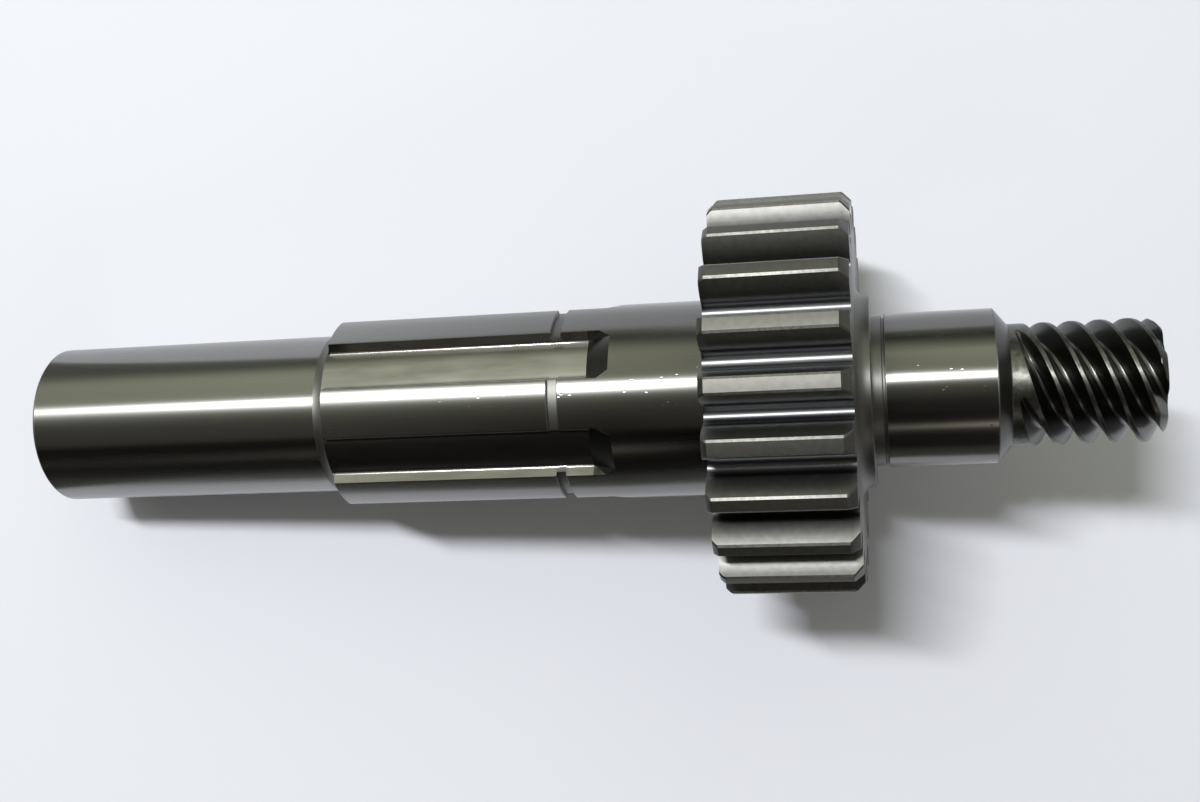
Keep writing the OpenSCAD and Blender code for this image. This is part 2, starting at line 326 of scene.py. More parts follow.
# %% Spline along the shaft
SPLINE_CLOCK = math.radians(-5)
RING_GROOVE_AT, RING_GROOVE_W, RING_GROOVE_DEPTH = 30.7, 1.3, 0.6
DRAFT, LEAST_GAP = 0.03, 0.004
RUNOUT_STEPS, FRONT_STEPS = 24, 6

groove_start = shoulder_at + RING_GROOVE_AT
groove_end = groove_start + RING_GROOVE_W
groove_r = SEAT_R - RING_GROOVE_DEPTH
front = shoulder_curve(np.linspace(floor_turn, np.pi / 2, FRONT_STEPS))
front[:, 1] += LEAST_GAP
runout = np.linspace(floor_end, spline_end, RUNOUT_STEPS)
runout_r = np.interp(runout, [floor_end, spline_end], [SPLINE_FLOOR_R, SEAT_R])
runout_r = np.minimum(SEAT_R - LEAST_GAP, runout_r)
tooth_stations = np.array([
    (shoulder_at, SEAT_R - EDGE, SPLINE_FLOOR_R),
    (shoulder_at + EDGE, SEAT_R, SPLINE_FLOOR_R),
    (groove_start - EDGE, SEAT_R, SPLINE_FLOOR_R),
    (groove_start, SEAT_R - EDGE, SPLINE_FLOOR_R),
    (groove_start + DRAFT, groove_r, SPLINE_FLOOR_R),
    (groove_end - DRAFT, groove_r, SPLINE_FLOOR_R),
    (groove_end, SEAT_R - EDGE, SPLINE_FLOOR_R),
    (groove_end + EDGE, SEAT_R, SPLINE_FLOOR_R),
])
spline_stations = np.concatenate([
    np.column_stack([front, np.full(len(front), SPLINE_FLOOR_R)]),
    tooth_stations,
    np.column_stack([runout, np.full(RUNOUT_STEPS, SEAT_R), runout_r]),
])
spline_halves = half_spline(*spline_stations.T)
spline = with_along(spline_stations[:, 0], around_teeth(spline_halves, SPLINE_TEETH, SPLINE_CLOCK))
print("spline loops and points in each:", spline.shape[:2])

# %% [markdown]
# The gear is cut from the same bar. A flank is an involute of the base circle: the angle that
# half a tooth fills at a radius falls as the involute grows. Below the base circle one round arc
# almost fills the root. A narrow flat bevel runs along both edges of each tip, as deburring leaves
# it. It is narrow, but it draws the bright lines along the teeth.

# %% Gear tooth
GEAR_TEETH, GEAR_MODULE, GEAR_ADDENDUM, GEAR_DEDENDUM = 22, 2.2, 1.8, 3.1
PRESSURE_ANGLE = math.radians(20)
PITCH_R = GEAR_TEETH * GEAR_MODULE / 2
TIP_R, ROOT_R = PITCH_R + GEAR_ADDENDUM, PITCH_R - GEAR_DEDENDUM
BASE_R = PITCH_R * math.cos(PRESSURE_ANGLE)
TIP_STEPS, FLANK_STEPS, ROOT_STEPS, EDGE_STEPS = 6, 12, 14, 3
TIP_EDGE, ROOT_ROUND = 0.2, 0.97


def half_tooth_angle(radius):
    """Half of the angle that a tooth fills at a radius: half the pitch's share, plus the involute
    function of the pressure angle, minus the involute function of the angle at that radius."""
    at_radius = np.arccos(np.minimum(1.0, BASE_R / radius))
    fixed = math.pi / 2 / GEAR_TEETH + math.tan(PRESSURE_ANGLE) - PRESSURE_ANGLE
    return fixed - (np.tan(at_radius) - at_radius)


def half_gear(tip_r):
    """Half a gear tooth and half a gap for each tip radius: land, a flat bevel along its edge, the
    involute down to the base circle, and an arc that almost fills the root."""
    land_end, flank_top = half_tooth_angle(tip_r) - TIP_EDGE / tip_r, tip_r - TIP_EDGE
    land = polar(tip_r[:, None], land_end[:, None] * np.linspace(0, 1, TIP_STEPS)[:-1])
    share = np.linspace(0, 1, EDGE_STEPS)[None, :, None]
    bevel = (1 - share) * polar(tip_r, land_end)[:, None]
    bevel = bevel + share * polar(flank_top, half_tooth_angle(flank_top))[:, None]
    flank_r = flank_top[:, None] + (BASE_R - flank_top)[:, None] * np.linspace(0, 1, FLANK_STEPS)[1:]
    flank = polar(flank_r, half_tooth_angle(flank_r))
    foot_angle = half_tooth_angle(np.array(BASE_R))
    lean = ROOT_ROUND * (math.pi / GEAR_TEETH - foot_angle)
    centre_angle = foot_angle + lean
    root_round = ROOT_R * math.sin(lean) / (1 - math.sin(lean))
    sweep = (math.pi / 2 - lean) * np.linspace(0, 1, ROOT_STEPS)
    arc = polar(ROOT_R + root_round, centre_angle)
    arc = arc + polar(root_round, foot_angle - math.pi / 2 - sweep)
    root = np.concatenate([arc, polar(ROOT_R, np.array([math.pi / GEAR_TEETH]))])
    root = np.broadcast_to(root, (len(tip_r),) + root.shape)
    return np.concatenate([land, bevel, flank, root], axis=1)


print("gear tip, pitch and root radius in mm:", TIP_R, PITCH_R, ROOT_R)

# %% [markdown]
# Both faces of the gear were turned, with a bevel on the tips that is larger towards the hub. So
# only the tip radius changes along the shaft, and six stations make the whole gear.

# %% Gear along the shaft
GEAR_CHAMFER_SEAT, GEAR_CHAMFER_HUB = 0.6, 1.1
GEAR_CLOCK = math.pi / GEAR_TEETH
gear_stations = np.array([
    (gear_at, TIP_R - GEAR_CHAMFER_SEAT),
    (gear_at + GEAR_CHAMFER_SEAT - EDGE, TIP_R - EDGE),
    (gear_at + GEAR_CHAMFER_SEAT + EDGE, TIP_R),
    (hub_at - GEAR_CHAMFER_HUB - EDGE, TIP_R),
    (hub_at - GEAR_CHAMFER_HUB + EDGE, TIP_R - EDGE),
    (hub_at, TIP_R - GEAR_CHAMFER_HUB),
])
gear_halves = half_gear(gear_stations[:, 1])
gear = with_along(gear_stations[:, 0], around_teeth(gear_halves, GEAR_TEETH, GEAR_CLOCK))
print("gear loops and points in each:", gear.shape[:2])

# %% [markdown]
# Between the toothed stretches the shaft is turned: a plain seat, then a thrust hub that a
# fillet blends into the gear face, a shallow relief for the grinding wheel, the short journal
# and a steep bevel down to the neck of the worm. Profiles swept round the axis are enough here.

# %% Seat, hub and short journal
SEAT_LAP, GEAR_FOOT, GEAR_FOOT_BEND = 0.3, 0.4, 0.1
HUB_R, HUB_FILLET, HUB_STEPS, HUB_LAP = 12.5, 1.4, 8, 0.2
RELIEF_DEPTH, UNDERCUT_W, UNDERCUT_DEPTH = 0.25, 0.35, 0.55
WORM_R, NECK_LAP = 7.85, 0.3

seat = lathe([
    (spline_end + SEAT_LAP, SEAT_R),
    (gear_at - GEAR_FOOT, SEAT_R),
    (gear_at - GEAR_FOOT_BEND, SEAT_R + GEAR_FOOT_BEND),
    (gear_at, SEAT_R + GEAR_FOOT),
])
fillet_turn = np.linspace(0, np.pi / 2, HUB_STEPS)
fillet_along = hub_at + HUB_FILLET * (1 - np.cos(fillet_turn))
fillet_profile = np.stack([fillet_along, HUB_R + HUB_FILLET * (1 - np.sin(fillet_turn))], -1)
relief_r = SHORT_R - RELIEF_DEPTH
undercut_r, undercut_at = SHORT_R - UNDERCUT_DEPTH, short_at - UNDERCUT_W
journal_steps = [
    (relief_at - HUB_LAP, HUB_R),
    (relief_at, HUB_R),
    (relief_at, relief_r),
    (undercut_at, relief_r),
    (undercut_at, undercut_r),
    (short_at, undercut_r),
    (short_at, SHORT_R),
    (bevel_at, SHORT_R),
    (neck_at, WORM_R),
    (thread_at - NECK_LAP, WORM_R),
]
hub_and_journal = lathe(np.concatenate([fillet_profile, rounded(journal_steps, EDGE)]))
print("hub and short journal loops:", len(hub_and_journal))

# %% [markdown]
# The worm drives a small wheel. Across one thread it has a floor, two straight flanks and a crest,
# with all corners rounded. Only half of that is worked out, for any depth and width of the floor,
# and a mirror gives the rest.

# %% Half a worm groove
WORM_PITCH, WORM_FLANK_ANGLE = 3.4, math.radians(26)
CREST_ROUND, FLOOR_ROUND, CUT_SHARE, FLOOR_SHARE = 0.1, 0.18, 0.3, 0.6
CREST_STEPS, FLANK_POINTS, ROUND_STEPS = 8, 6, 5


def half_groove(depth, low):
    """Half a groove, from its floor to the middle of the crest, as distances across the thread and
    drops below the crest, for each depth and half width of the floor. The flank leans by the flank
    angle. Each corner is a quadratic curve that leaves one side and meets the next at equal cuts."""
    high = low + depth * math.tan(WORM_FLANK_ANGLE)
    slant = np.hypot(depth, high - low)
    crest_cut = np.minimum(CREST_ROUND, CUT_SHARE * slant)
    floor_cut = np.minimum(np.minimum(FLOOR_ROUND, CUT_SHARE * slant), FLOOR_SHARE * low)
    lean_across, lean_down = (high - low) / slant, depth / slant
    share = np.linspace(0, 1, ROUND_STEPS)
    ease_in, ease_mid, ease_out = (1 - share) ** 2, 2 * share * (1 - share), share**2
    floor_across = low[:, None] * (ease_in + ease_mid + ease_out) - floor_cut[:, None] * ease_in
    floor_across = floor_across + (lean_across * floor_cut)[:, None] * ease_out
    floor_drop = depth[:, None] - (lean_down * floor_cut)[:, None] * ease_out
    crest_across = high[:, None] * (ease_in + ease_mid + ease_out) + crest_cut[:, None] * ease_out
    crest_across = crest_across - (lean_across * crest_cut)[:, None] * ease_in
    crest_drop = (lean_down * crest_cut)[:, None] * ease_in
    between = np.linspace(0, 1, FLANK_POINTS)[None, 1:-1]
    flank_across = floor_across[:, -1:] + (crest_across[:, :1] - floor_across[:, -1:]) * between
    flank_drop = floor_drop[:, -1:] + (crest_drop[:, :1] - floor_drop[:, -1:]) * between
    to_middle = np.linspace(0, 1, CREST_STEPS)[None, 1:]
    land = crest_across[:, -1:] + (WORM_PITCH / 2 - crest_across[:, -1:]) * to_middle
    across = np.concatenate([floor_across, flank_across, crest_across, land], axis=1)
    drop = np.concatenate([floor_drop, flank_drop, crest_drop, 0 * land], axis=1)
    return across, drop


print("pitch of the worm in mm:", WORM_PITCH)

# %% [markdown]
# Five such threads turn as they move along: a full turn for each lead. A screw modifier would keep
# one section from end to end. Here the cutter climbs out near the neck, so the groove gets shallower
# and narrower there, and the end is bevelled by a cone that cuts whatever stands above it.

# %% Worm thread
WORM_STARTS, WORM_DEPTH, WORM_FLOOR_W = 5, 2.3, 0.6
WORM_RUNOUT_LEN, WORM_BEVEL, WORM_CENTRE_R = 3.2, 1.2, 2.1
WORM_CLOCK = math.radians(-60)
WORM_LEAD = WORM_STARTS * WORM_PITCH
THREAD_RISE, FIRST_RISE, RING_STEP = 0.15, 0.01, 0.11


def worm_loops(places):
    """Loops of the worm at places past the neck. The depth grows as one minus the square of what is
    left of the run-out. The angle of a point is the start's own, plus a turn for each lead of its
    distance along and across the thread, and its radius is at most that of the end's cone."""
    run = np.maximum(0.0, 1 - (places + THREAD_RISE) / WORM_RUNOUT_LEN)
    depth = WORM_DEPTH * (1 - run**2)
    low = WORM_FLOOR_W / 2 * np.minimum(1.0, np.sqrt((places + THREAD_RISE) / WORM_FLOOR_W))
    across, drop = half_groove(depth, low)
    across = np.concatenate([-across[:, -2::-1], 0 * depth[:, None], across], axis=1)
    drop = np.concatenate([drop[:, -2::-1], depth[:, None], drop], axis=1)
    cone = WORM_R - np.maximum(0.0, places - (WORM_THREAD_LEN - WORM_BEVEL))
    radius = np.minimum(WORM_R - drop, cone[:, None])
    start = WORM_CLOCK + np.arange(WORM_STARTS) * TURN / WORM_STARTS
    angle = start[None, :, None] + (places[:, None] + across)[:, None, :] * TURN / WORM_LEAD
    section = polar(np.broadcast_to(radius[:, None, :], angle.shape), angle)
    return with_along(thread_at + places, section.reshape(len(places), -1, 2))


worm_rings = int(WORM_THREAD_LEN / RING_STEP)
worm = worm_loops(np.linspace(FIRST_RISE - THREAD_RISE, WORM_THREAD_LEN, worm_rings))
end_centre = centre_profile(WORM_CENTRE_R)[::-1]
worm_end = lathe(np.array([shaft_len, 0]) + np.array([-1, 1]) * end_centre)
print("worm loops and points in each:", worm.shape[:2])

# %% [markdown]
# Each way of cutting leaves its own finish, so every face gets the number of one: ground, turned or
# hobbed steel, the land, edge, flank and root of a gear tooth, the crest and flank of the worm. The
# darker colours of the gear's root and of the worm's flank are painted shade.
# Painting by hand would not survive a changed size. Here the finish follows from the place: a row
# lies between two stations, and a column lies on a land or not.

# %% Finish of turned and splined faces
FINISHES = ["ground", "turned", "hobbed", "gear_land", "gear_edge", "gear_flank", "gear_root",
            "worm_crest", "worm_flank"]
(GROUND, TURNED, HOBBED, GEAR_LAND, GEAR_EDGE, GEAR_FLANK, GEAR_ROOT_SHADE,
 WORM_CREST, WORM_FLANK_SHADE) = range(len(FINISHES))
LEVEL = 1e-6


def land_columns(half_count, land_count, teeth):
    """True for the quads round a toothed loop that lie on a tooth's land: those within land_count
    points of the tooth's middle, for sections made of halves with half_count points."""
    one = np.zeros(2 * half_count - 2, bool)
    middle = half_count - 2
    one[middle - land_count + 1:middle + land_count - 1] = True
    return np.tile(one, teeth)


def rows_between(stations, low, high):
    """True for the rows of quads whose middle lies between two places along the shaft."""
    middle = (stations[:-1] + stations[1:]) / 2
    return (middle > low) & (middle < high)


def lathe_finish(loops, low, high):
    """Finish of the quads of a turned stretch: ground where the profile runs level between two
    places along the shaft, turned elsewhere."""
    along = loops[:, 0, 0]
    level = np.abs(np.diff(np.hypot(loops[:, 0, 1], loops[:, 0, 2]))) < LEVEL
    rows = rows_between(along, low, high) & level
    return np.repeat(np.where(rows, GROUND, TURNED), loops.shape[1])


long_finish = lathe_finish(long_journal, END_BREAK, LONG_LEN)
seat_finish = lathe_finish(seat, spline_end, gear_at)
spline_land = land_columns(spline_halves.shape[1], LAND_STEPS, SPLINE_TEETH)
spline_along = spline_stations[:, 0]
spline_rows = rows_between(spline_along, shoulder_at + EDGE / 2, groove_start - EDGE / 2)
spline_rows |= rows_between(spline_along, groove_end + EDGE / 2, shaft_len)
spline_top = np.where(spline_rows, GROUND, TURNED)
# The run-outs of the spline take the worm flank's dark painted shade.
spline_gap = np.where(rows_between(spline_along, floor_end, spline_end), WORM_FLANK_SHADE, HOBBED)
spline_finish = np.where(spline_land[None, :], spline_top[:, None], spline_gap[:, None]).ravel()
print("ground faces on the spline:", int((spline_finish == GROUND).sum()))

# %% [markdown]
# On the gear the finish goes by column: the land in the middle of a tooth, then its bevelled edge,
# the flank and the root. The bevels at the faces are as dull as the flanks. On the worm it goes by
# radius, because the crest is what was left of the turned cylinder.

# %% Finish of gear and worm faces
CREST_DEPTH = 0.05
gear_count = gear_halves.shape[1]
edge_count = TIP_STEPS + EDGE_STEPS - 1
flank_count = edge_count + FLANK_STEPS - 1
# Root columns take the root's darker colour, painted shade in the hollow between teeth.
gear_columns = np.full((2 * gear_count - 2) * GEAR_TEETH, GEAR_ROOT_SHADE)
gear_columns[land_columns(gear_count, flank_count, GEAR_TEETH)] = GEAR_FLANK
gear_columns[land_columns(gear_count, edge_count, GEAR_TEETH)] = GEAR_EDGE
gear_columns[land_columns(gear_count, TIP_STEPS, GEAR_TEETH)] = GEAR_LAND
gear_ends = np.where(gear_columns == GEAR_ROOT_SHADE, GEAR_ROOT_SHADE, GEAR_FLANK)
gear_rows = rows_between(gear_stations[:, 0], gear_at + GEAR_CHAMFER_SEAT, hub_at - GEAR_CHAMFER_HUB)
gear_finish = np.where(gear_rows[:, None], gear_columns[None, :], gear_ends[None, :]).ravel()

hub_along = hub_and_journal[:, 0, 0]
hub_finish = lathe_finish(hub_and_journal, short_at, bevel_at)
# The steep bevel takes the worm flank's dark painted shade.
hub_finish[np.repeat(rows_between(hub_along, bevel_at + EDGE, neck_at), AROUND)] = WORM_FLANK_SHADE
hub_finish[np.repeat(rows_between(hub_along, neck_at, thread_at), AROUND)] = WORM_CREST
worm_r = np.hypot(worm[..., 1], worm[..., 2])
worm_low = np.minimum(worm_r[:-1], worm_r[1:])
worm_low = np.minimum(worm_low, np.roll(worm_low, -1, axis=1))
# Below the crest the worm takes its flanks' dark painted shade.
worm_finish = np.where(worm_low > WORM_R - CREST_DEPTH, WORM_CREST, WORM_FLANK_SHADE).ravel()
print("faces on gear lands and worm crests:", int((gear_finish == GEAR_LAND).sum()),
      int((worm_finish == WORM_CREST).sum()))

# %% [markdown]
# The shaft is one piece of steel, so all stretches become one closed mesh. Loops with equal counts
# are joined by quads. Where a round stretch meets a toothed one the counts differ, and triangles
# step round by angle, which also makes the flat faces of the gear.

# %% Joining loops


def quads_between(first, count, rows):
    """Quads of a stack of rows loops with count points each, the first point numbered first."""
    row_start = first + np.arange(rows - 1)[:, None] * count
    here = row_start + np.arange(count)[None, :]
    beside = row_start + (np.arange(count)[None, :] + 1) % count
    return np.stack([here, beside, beside + count, here + count], axis=-1).reshape(-1, 4)


def rolled(loop):
    """Numbers of a loop's points and their growing angles, from the first point past the upright line."""
    angle = np.arctan2(loop[:, 2], loop[:, 1]) % TURN
    order = (np.argmin(angle) + np.arange(len(loop))) % len(loop)
    return order, angle[order]


def triangles_between(loop_a, first_a, loop_b, first_b):
    """Triangles that join two loops of different counts: whichever loop has the next angle steps."""
    order_a, angle_a = rolled(loop_a)
    order_b, angle_b = rolled(loop_b)
    next_angle = np.concatenate([angle_a[1:], angle_a[:1] + TURN, angle_b[1:], angle_b[:1] + TURN])
    steps_a = np.argsort(next_angle, kind="stable") < len(loop_a)
    at_a = np.cumsum(steps_a) - steps_a
    at_b = np.cumsum(~steps_a) - ~steps_a
    a0 = first_a + order_a[at_a % len(loop_a)]
    a1 = first_a + order_a[(at_a + 1) % len(loop_a)]
    b0 = first_b + order_b[at_b % len(loop_b)]
    b1 = first_b + order_b[(at_b + 1) % len(loop_b)]
    return np.where(steps_a[:, None], np.stack([a0, a1, b0], 1), np.stack([a0, b1, b0], 1))


print("triangles from the seat to the gear:", len(triangles_between(seat[-1], 0, gear[0], AROUND)))

# %% [markdown]
# The stretches follow each other from left to right. Each brings the finish of its own faces and
# that of the bridge to the next stretch. A short loop over the seven of them numbers their points
# and collects their faces.

# %% Stack of stretches
stretches = [
    (long_journal, long_finish, TURNED),
    (spline, spline_finish, GROUND),
    (seat, seat_finish, TURNED),
    (gear, gear_finish, TURNED),
    (hub_and_journal, hub_finish, WORM_CREST),
    (worm, worm_finish, TURNED),
    (worm_end, np.full((len(worm_end) - 1) * AROUND, TURNED), TURNED),
]
points, quads, triangles, quad_finish, triangle_finish = [], [], [], [], []
first, last_loop, last_first, bridge_finish = 0, None, 0, TURNED
for loops, finish, after in stretches:
    rows, count = loops.shape[:2]
    points.append(loops.reshape(-1, 3))
    quads.append(quads_between(first, count, rows))
    quad_finish.append(finish)
    if last_loop is not None:
        bridge = triangles_between(last_loop, last_first, loops[0], first)
        triangles.append(bridge)
        triangle_finish.append(np.full(len(bridge), bridge_finish))
    last_loop, last_first, bridge_finish = loops[-1], first + (rows - 1) * count, after
    first += rows * count
print("points in all stretches:", first)

# %% [markdown]
# A point at each end closes the two lathe centres. The arrays then go into a Blender mesh in whole,
# which is much faster than adding faces one by one. Corners sharper than 20 degrees stay sharp and
# the rest is shaded smooth, so that the ground cylinders reflect as true cylinders.

# %% One mesh
SHARP_ANGLE = math.radians(20)
points.append(np.array([(long_journal[0, 0, 0], 0, 0), (worm_end[-1, 0, 0], 0, 0)]))
ring = np.arange(AROUND)
beside = (ring + 1) % AROUND
triangles.append(np.stack([np.full(AROUND, first), beside, ring], 1))
triangles.append(np.stack([np.full(AROUND, first + 1), last_first + ring, last_first + beside], 1))
triangle_finish.append(np.full(2 * AROUND, TURNED))

points = np.concatenate(points) * MM
place = shaft_start + points[:, :1] * axis + points[:, 1:2] * upright + points[:, 2:] * side
quads, triangles = np.concatenate(quads), np.concatenate(triangles)
finish = np.concatenate(quad_finish + triangle_finish)
corners = np.concatenate([quads.ravel(), triangles.ravel()]).astype(np.int32)
sizes = np.concatenate([np.full(len(quads), 4), np.full(len(triangles), 3)])
starts = (np.cumsum(sizes) - sizes).astype(np.int32)

mesh = bpy.data.meshes.new("shaft_skin")
mesh.vertices.add(len(place))
mesh.vertices.foreach_set("co", place.astype(np.float32).ravel())
mesh.loops.add(len(corners))
mesh.loops.foreach_set("vertex_index", corners)
mesh.polygons.add(len(sizes))
mesh.polygons.foreach_set("loop_start", starts)
mesh.polygons.foreach_set("material_index", finish.astype(np.int32))
mesh.update(calc_edges=True)
mesh.validate()
mesh.shade_smooth()
mesh.set_sharp_from_angle(angle=SHARP_ANGLE)
shaft = bpy.data.objects.new("shaft_skin", mesh)
scene.collection.objects.link(shaft)
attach(shaft, "root")
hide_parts("main_shaft")
print("skin triangles:", 2 * len(quads) + len(triangles))

# %% [markdown]
# The steel is the same everywhere, but each finish is as dark and as rough as its tool left it. The
# patterns are worked out in the shaft's own coordinates: object coordinates turned so that x runs
# along the axis. A noise that is stretched along x gives lines along the shaft, and one that is
# squeezed along x gives lines round it.

# %% Metal and noise
TILT = math.atan2(axis[2], axis[0])


def new_finish(name, colour, roughness):
    """A metal with one colour and one roughness, and its shader."""
    material = bpy.data.materials.new(name)
    material.use_nodes = True
    shader = material.node_tree.nodes["Principled BSDF"]
    shader.inputs["Base Color"].default_value = (*colour, 1)
    shader.inputs["Metallic"].default_value = 1.0
    shader.inputs["Roughness"].default_value = roughness
    return material, shader


def shaft_coordinates(material):
    """Object coordinates turned by the shaft's tilt, so that x runs along the axis."""
    nodes, links = material.node_tree.nodes, material.node_tree.links
    place_node = nodes.new("ShaderNodeTexCoord")
    turned_node = nodes.new("ShaderNodeMapping")
    turned_node.inputs["Rotation"].default_value = (0, TILT, 0)
    links.new(place_node.outputs["Object"], turned_node.inputs["Vector"])
    return turned_node.outputs["Vector"]


def streaks(material, scale, detail=3.0):
    """Noise in shaft coordinates, stretched by how fast it varies along and across the shaft."""
    nodes, links = material.node_tree.nodes, material.node_tree.links
    stretch = nodes.new("ShaderNodeMapping")
    stretch.inputs["Scale"].default_value = scale
    noise = nodes.new("ShaderNodeTexNoise")
    noise.inputs["Scale"].default_value = 1.0
    noise.inputs["Detail"].default_value = detail
    links.new(shaft_coordinates(material), stretch.inputs["Vector"])
    links.new(stretch.outputs["Vector"], noise.inputs["Vector"])
    return noise.outputs["Fac"]


print("tilt of the shaft in degrees:", round(math.degrees(TILT), 2))

# %% [markdown]
# A pattern can vary a metal's roughness, shift its colour or raise its surface. The three small
# functions here each add one node. The range node comes first where a pattern has to start and end
# at given values, because noise seldom leaves the middle of its range.

# %% What a pattern does
NOISE_LOW, NOISE_HIGH = 0.3, 0.7


def spread(material, value, low, high, to_low=0.0, to_high=1.0):
    """A value that runs from low to high, carried over to the range from to_low to to_high."""
    range_node = material.node_tree.nodes.new("ShaderNodeMapRange")
    range_node.inputs["From Min"].default_value = low
    range_node.inputs["From Max"].default_value = high
    range_node.inputs["To Min"].default_value = to_low
    range_node.inputs["To Max"].default_value = to_high
    material.node_tree.links.new(value, range_node.inputs["Value"])
    return range_node.outputs["Result"]


def mix_colour(material, shader, share, first_colour, last_colour):
    """Base colour that goes from the first colour to the last as a share grows from 0 to 1."""
    mix = material.node_tree.nodes.new("ShaderNodeMix")
    mix.data_type = "RGBA"
    mix.inputs["A"].default_value = (*first_colour, 1)
    mix.inputs["B"].default_value = (*last_colour, 1)
    material.node_tree.links.new(share, mix.inputs["Factor"])
    material.node_tree.links.new(mix.outputs["Result"], shader.inputs["Base Color"])


def bump_by(material, shader, pattern, height):
    """Tiny scratches: the pattern raises the surface by a height in metres."""
    bump = material.node_tree.nodes.new("ShaderNodeBump")
    bump.inputs["Strength"].default_value = 1.0
    bump.inputs["Distance"].default_value = height
    material.node_tree.links.new(pattern, bump.inputs["Height"])
    material.node_tree.links.new(bump.outputs["Normal"], shader.inputs["Normal"])
    return bump


print("noise is used from", NOISE_LOW, "to", NOISE_HIGH)

# %% [markdown]
# A grinding wheel leaves lines round the shaft, too fine to be modelled. They spread reflections
# along the axis, and the shader's anisotropy does the same. Small dents come from handling. They
# are random cells with a dip in the middle, sunk by a bump, so they need no faces of their own.

# %% Grain and nicks
QUARTER_TURN = 0.25
NICK_SPACING, NICK_SIZE, NICK_DEPTH, NICK_STRETCH = 0.0008, 0.00011, 0.000014, (0.5, 1, 1)


def grain_round(material, shader, amount):
    """Fine tool lines that run round the shaft: reflections spread along the axis. The direction of
    the lines is the axis crossed with the surface's normal, and the spread is a quarter turn off."""
    normal = material.node_tree.nodes.new("ShaderNodeNewGeometry")
    lines = material.node_tree.nodes.new("ShaderNodeVectorMath")
    lines.operation = "CROSS_PRODUCT"
    lines.inputs[0].default_value = axis
    material.node_tree.links.new(normal.outputs["Normal"], lines.inputs[1])
    material.node_tree.links.new(lines.outputs["Vector"], shader.inputs["Tangent"])
    shader.inputs["Anisotropic"].default_value = amount
    shader.inputs["Anisotropic Rotation"].default_value = QUARTER_TURN


def nicks(material, shader):
    """Small dents at scattered places, longer along the shaft than round it: the surface sinks by
    the nicks' depth within their size of random points that lie about their spacing apart."""
    nodes, links = material.node_tree.nodes, material.node_tree.links
    place_node = nodes.new("ShaderNodeTexCoord")
    longer = nodes.new("ShaderNodeMapping")
    longer.inputs["Scale"].default_value = NICK_STRETCH
    cells = nodes.new("ShaderNodeTexVoronoi")
    cells.inputs["Scale"].default_value = 1 / NICK_SPACING
    links.new(place_node.outputs["Object"], longer.inputs["Vector"])
    links.new(longer.outputs["Vector"], cells.inputs["Vector"])
    dent = spread(material, cells.outputs["Distance"], 0.0, NICK_SIZE / NICK_SPACING)
    return bump_by(material, shader, dent, NICK_DEPTH)


print("nicks are about this far apart in mm:", NICK_SPACING / MM)

# %% [markdown]
# The journals and the seat are ground steel. Faint streaks along the shaft vary the roughness.
# Towards the seat the steel gets darker and its dents get deeper, so one share that grows along
# the shaft sets both its colour and the strength of the dents.

# %% Ground steel
LONG_STEEL, SEAT_STEEL = (0.265, 0.264, 0.257), (0.18, 0.178, 0.17)
DARKER_FROM, DARKER_TO = -0.03, 0.012
GROUND_ROUGH = (0.262, 0.28)

ground, ground_shader = new_finish("ground_steel", LONG_STEEL, roughness=GROUND_ROUGH[0])
along_node = ground.node_tree.nodes.new("ShaderNodeSeparateXYZ")
ground.node_tree.links.new(shaft_coordinates(ground), along_node.inputs["Vector"])
darker_share = spread(ground, along_node.outputs["X"], DARKER_FROM, DARKER_TO)
mix_colour(ground, ground_shader, darker_share, LONG_STEEL, SEAT_STEEL)
ground_streaks = streaks(ground, scale=(12, 900, 900))
ground_rough = spread(ground, ground_streaks, NOISE_LOW, NOISE_HIGH, *GROUND_ROUGH)
ground.node_tree.links.new(ground_rough, ground_shader.inputs["Roughness"])
grain_round(ground, ground_shader, amount=0.93)
dents = nicks(ground, ground_shader)
ground.node_tree.links.new(darker_share, dents.inputs["Strength"])
print("ground steel nodes:", len(ground.node_tree.nodes))

# %% [markdown]
# Turned faces are dull and have coarse lines round the shaft. The hobbed floors and sides of the
# spline have lines along it, and their tone is cloudy, as on steel that was not ground after it was
# hardened. A noise that shifts the colour a little up and down gives such clouds.

# %% Turned and hobbed steel
CLOUD_DETAIL = 6.0


def cloudy(material, shader, scale, share):
    """Base colour that wanders with a noise pattern, by a share below and above the plain one."""
    plain = np.array(shader.inputs["Base Color"].default_value[:3])
    clouds = spread(material, streaks(material, scale, CLOUD_DETAIL), NOISE_LOW, NOISE_HIGH)
    mix_colour(material, shader, clouds, plain * (1 - share), plain * (1 + share))


turned, turned_shader = new_finish("turned_steel", (0.2, 0.2, 0.19), roughness=0.5)
bump_by(turned, turned_shader, streaks(turned, scale=(7000, 300, 300)), height=0.000002)
grain_round(turned, turned_shader, amount=0.7)
hobbed, hobbed_shader = new_finish("hobbed_steel", (0.325, 0.315, 0.307), roughness=0.22)
bump_by(hobbed, hobbed_shader, streaks(hobbed, scale=(60, 1200, 1200)), height=0.000002)
cloudy(hobbed, hobbed_shader, scale=(150, 700, 700), share=0.15)
print("turned and hobbed steel nodes:", len(turned.node_tree.nodes), len(hobbed.node_tree.nodes))
